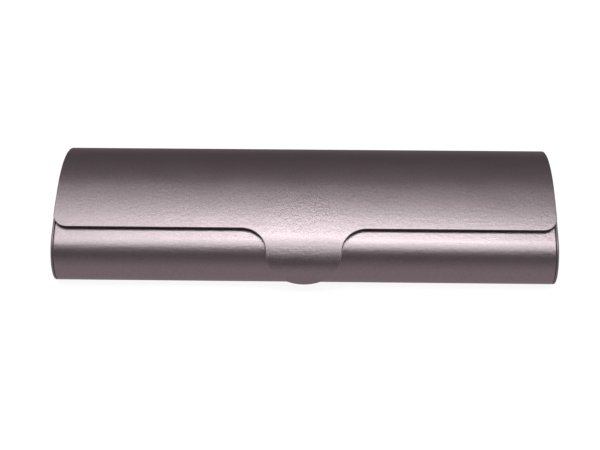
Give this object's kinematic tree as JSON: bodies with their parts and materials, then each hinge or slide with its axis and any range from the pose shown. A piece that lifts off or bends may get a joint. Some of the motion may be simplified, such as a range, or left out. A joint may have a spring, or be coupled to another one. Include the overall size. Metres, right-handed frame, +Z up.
{
  "type": "eyeglasses case",
  "caption": "Slim hard eyeglasses case bent from anodised aluminium sheet, with a flap lid whose rounded tongue wraps over the front and holds shut by magnets.",
  "frame": {"origin": "under the middle of the closed case, on the surface it stands on", "axes": "+X along the case towards its right end, -Y out of the front with the tongue, +Z up out of the crown of the lid"},
  "size_m": [0.1604, 0.062, 0.0308],
  "materials": {
    "anodised_sheet": "satin bead-blasted anodising, rose-grey, fine grain",
    "cap_coat": "satin coating matched to the sheets",
    "felt": "short dense felt, dark plum-black",
    "foam": "thin closed-cell foam",
    "hinge_steel": "brushed nickel-plated steel",
    "magnet_plate": "bright nickel plating",
    "holder_plastic": "matt black moulding"
  },
  "bodies": {
    "base": {"base_shell": "anodised_sheet", "end_cap_left": "cap_coat", "end_cap_right": "cap_coat", "base_padding": "foam", "base_lining": "felt", "end_lining_left": "felt", "end_lining_right": "felt", "magnet_holder": "holder_plastic", "magnet_left": "magnet_plate", "magnet_right": "magnet_plate", "hinge_leaf_base": "hinge_steel", "hinge_pin": "hinge_steel", "hinge_rivet_base_1": "hinge_steel", "hinge_rivet_base_2": "hinge_steel", "hinge_rivet_base_3": "hinge_steel", "hinge_rivet_base_4": "hinge_steel"},
    "lid": {"lid_shell": "anodised_sheet", "lid_padding": "foam", "lid_lining": "felt", "tongue_striker": "hinge_steel", "hinge_leaf_lid": "hinge_steel", "hinge_rivet_lid_1": "hinge_steel", "hinge_rivet_lid_2": "hinge_steel", "hinge_rivet_lid_3": "hinge_steel", "hinge_rivet_lid_4": "hinge_steel"}
  },
  "joints": [
    {"name": "lid_hinge", "type": "hinge", "parent": "base", "child": "lid", "pos_m": [0, 0.02945, 0.01619], "axis": [-1, 0, 0], "range_deg": [0, 120]}
  ]
}
